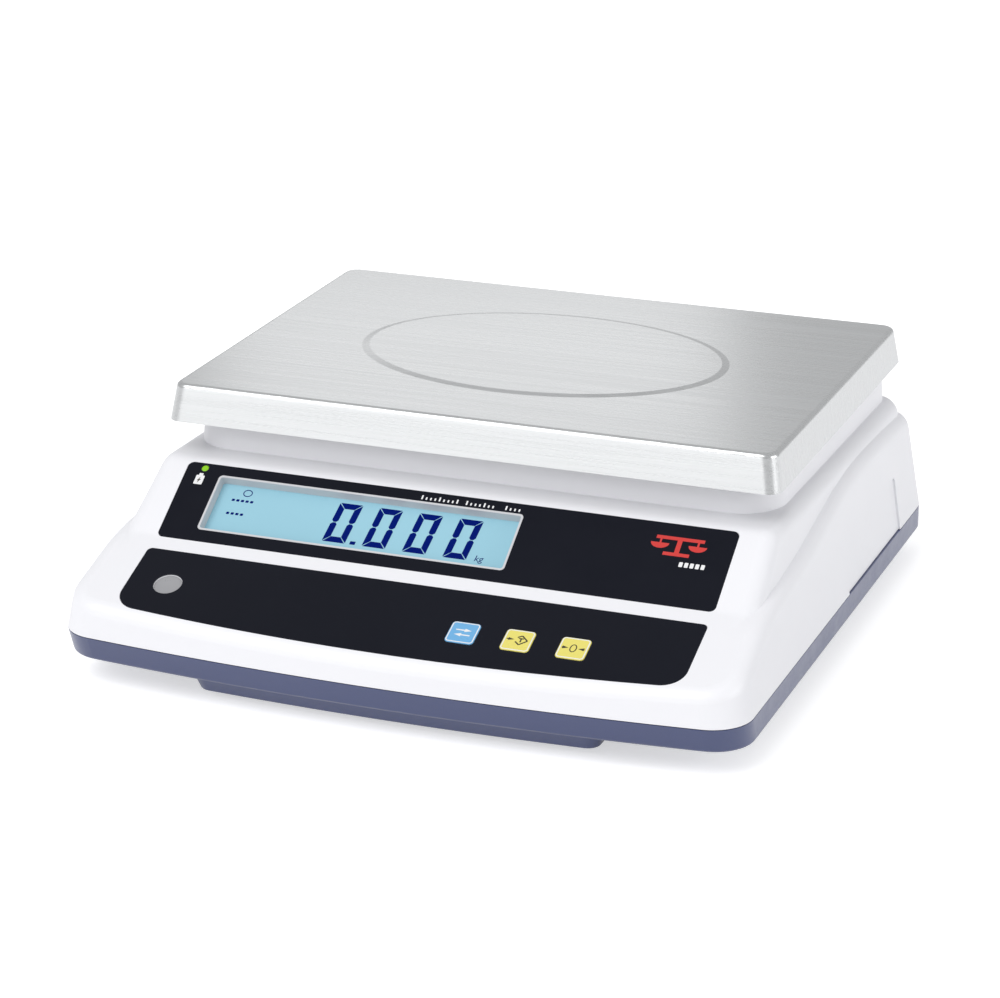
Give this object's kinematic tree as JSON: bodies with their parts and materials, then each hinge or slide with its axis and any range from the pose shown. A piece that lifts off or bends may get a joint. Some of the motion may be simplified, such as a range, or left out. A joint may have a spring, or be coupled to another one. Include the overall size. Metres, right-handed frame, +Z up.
{
  "type": "electronic table-top weighing scale",
  "caption": "Low table-top electronic scale with a flat steel weighing pan, a sloping front console with display and keypad, and levelling feet.",
  "frame": {"origin": "centre of the footprint on the table, at the underside of the feet", "axes": "+X to the user's right, +Y from the console to the back of the scale, +Z up"},
  "size_m": [0.32, 0.322, 0.1156],
  "materials": {
    "white_plastic": "satin moulded",
    "blue_plastic": "satin moulded",
    "black_film": "printed polyester film",
    "grey_plastic": "satin moulded",
    "silver_plastic": "silver moulded",
    "key_blue": "printed key",
    "key_yellow": "printed key",
    "pan_steel": "brushed along X",
    "cast_metal": "as cast",
    "cell_metal": "machined",
    "screw_steel": "zinc plated",
    "black_steel": "black oxide",
    "brass": "turned",
    "rubber_black": "moulded",
    "rubber_grey": "moulded",
    "lcd_glass": "polished",
    "diffuser": "satin",
    "board_green": "solder resist",
    "chip_black": "moulded",
    "capacitor": "sleeved",
    "led_green": "clear moulded",
    "gauge_film": "polyimide film",
    "battery_case": "moulded",
    "foam": "foam",
    "switch_black": "moulded"
  },
  "bodies": {
    "housing": {"top_housing": "white_plastic", "base_housing": "blue_plastic", "foot_inserts": "brass", "cell_spacer_lower": "cell_metal", "load_cell": "cell_metal", "strain_gauges": "gauge_film", "cell_base_screws": "black_steel", "base_frame": "cast_metal", "overload_stop": "black_steel", "overload_nut": "screw_steel", "frame_screws": "screw_steel", "case_screws": "screw_steel", "display_overlay": "black_film", "lcd_bezel": "grey_plastic", "lcd_glass": "lcd_glass", "lcd_backlight": "diffuser", "display_board": "board_green", "display_board_screws": "screw_steel", "charge_led": "led_green", "keypad_overlay": "black_film", "key_switches": "switch_black", "keypad_board": "board_green", "keypad_board_screws": "screw_steel", "level_port_plug": "silver_plastic", "main_board": "board_green", "main_board_screws": "screw_steel", "board_capacitors": "capacitor", "board_chips": "chip_black", "board_connectors": "grey_plastic", "battery": "battery_case", "battery_terminals": "brass", "battery_foam": "foam", "switch_body": "switch_black", "dc_inlet": "switch_black", "dc_pin": "brass", "inlet_nut": "screw_steel"},
    "platform": {"platform_carrier": "cast_metal", "pan_pads": "rubber_grey", "cell_spacer_upper": "cell_metal", "cell_carrier_screws": "black_steel"},
    "pan": {"pan": "pan_steel"},
    "key_unit": {"key_unit": "key_blue"},
    "key_tare": {"key_tare": "key_yellow"},
    "key_zero": {"key_zero": "key_yellow"},
    "rocker": {"power_rocker": "switch_black"},
    "battery_cover": {"battery_cover": "blue_plastic"},
    "foot_fl": {"foot_pad_fl": "rubber_black"},
    "foot_screw_fl": {"foot_screw_fl": "screw_steel"},
    "foot_fr": {"foot_pad_fr": "rubber_black"},
    "foot_screw_fr": {"foot_screw_fr": "screw_steel"},
    "foot_rl": {"foot_pad_rl": "rubber_black"},
    "foot_screw_rl": {"foot_screw_rl": "screw_steel"},
    "foot_rr": {"foot_pad_rr": "rubber_black"},
    "foot_screw_rr": {"foot_screw_rr": "screw_steel"}
  },
  "joints": [
    {"name": "platform_deflection", "type": "slide", "parent": "housing", "child": "platform", "axis": [0, 0, 1], "range_m": [-0.0005, 0], "stiffness_N_per_m": 200000, "springref_m": 0.0001, "deforming": ["load_cell"]},
    {"name": "pan_lift", "type": "slide", "parent": "platform", "child": "pan", "axis": [0, 0, 1], "range_m": [0, 0.04]},
    {"name": "rocker_tilt", "type": "hinge", "parent": "housing", "child": "rocker", "pos_m": [-0.095, 0.15446, 0.04761], "axis": [0, -0.0847, 0.9964], "range_deg": [0, 20]},
    {"name": "battery_cover_release", "type": "slide", "parent": "housing", "child": "battery_cover", "axis": [0, 0, -1], "range_m": [0, 0.025]},
    {"name": "key_unit_press", "type": "slide", "parent": "housing", "child": "key_unit", "axis": [0, -0.3469, 0.9379], "range_m": [-0.0005, 0], "stiffness_N_per_m": 3000, "springref_m": 0.00015},
    {"name": "key_tare_press", "type": "slide", "parent": "housing", "child": "key_tare", "axis": [0, -0.3469, 0.9379], "range_m": [-0.0005, 0], "stiffness_N_per_m": 3000, "springref_m": 0.00015},
    {"name": "key_zero_press", "type": "slide", "parent": "housing", "child": "key_zero", "axis": [0, -0.3469, 0.9379], "range_m": [-0.0005, 0], "stiffness_N_per_m": 3000, "springref_m": 0.00015},
    {"name": "foot_extend_fl", "type": "slide", "parent": "housing", "child": "foot_fl", "axis": [0, 0, 1], "range_m": [-0.005, 0]},
    {"name": "foot_turn_fl", "type": "hinge", "parent": "foot_fl", "child": "foot_screw_fl", "pos_m": [-0.12, -0.096, 0.01], "axis": [0, 0, 1], "range_deg": [0, 1440]},
    {"name": "foot_extend_fr", "type": "slide", "parent": "housing", "child": "foot_fr", "axis": [0, 0, 1], "range_m": [-0.005, 0]},
    {"name": "foot_turn_fr", "type": "hinge", "parent": "foot_fr", "child": "foot_screw_fr", "pos_m": [0.12, -0.096, 0.01], "axis": [0, 0, 1], "range_deg": [0, 1440]},
    {"name": "foot_extend_rl", "type": "slide", "parent": "housing", "child": "foot_rl", "axis": [0, 0, 1], "range_m": [-0.005, 0]},
    {"name": "foot_turn_rl", "type": "hinge", "parent": "foot_rl", "child": "foot_screw_rl", "pos_m": [-0.12, 0.125, 0.01], "axis": [0, 0, 1], "range_deg": [0, 1440]},
    {"name": "foot_extend_rr", "type": "slide", "parent": "housing", "child": "foot_rr", "axis": [0, 0, 1], "range_m": [-0.005, 0]},
    {"name": "foot_turn_rr", "type": "hinge", "parent": "foot_rr", "child": "foot_screw_rr", "pos_m": [0.12, 0.125, 0.01], "axis": [0, 0, 1], "range_deg": [0, 1440]}
  ],
  "couplings": [
    {"joint": "foot_turn_fl", "follows": "foot_extend_fl", "rad_per_m": -5026.5},
    {"joint": "foot_turn_fr", "follows": "foot_extend_fr", "rad_per_m": -5026.5},
    {"joint": "foot_turn_rl", "follows": "foot_extend_rl", "rad_per_m": -5026.5},
    {"joint": "foot_turn_rr", "follows": "foot_extend_rr", "rad_per_m": -5026.5}
  ]
}
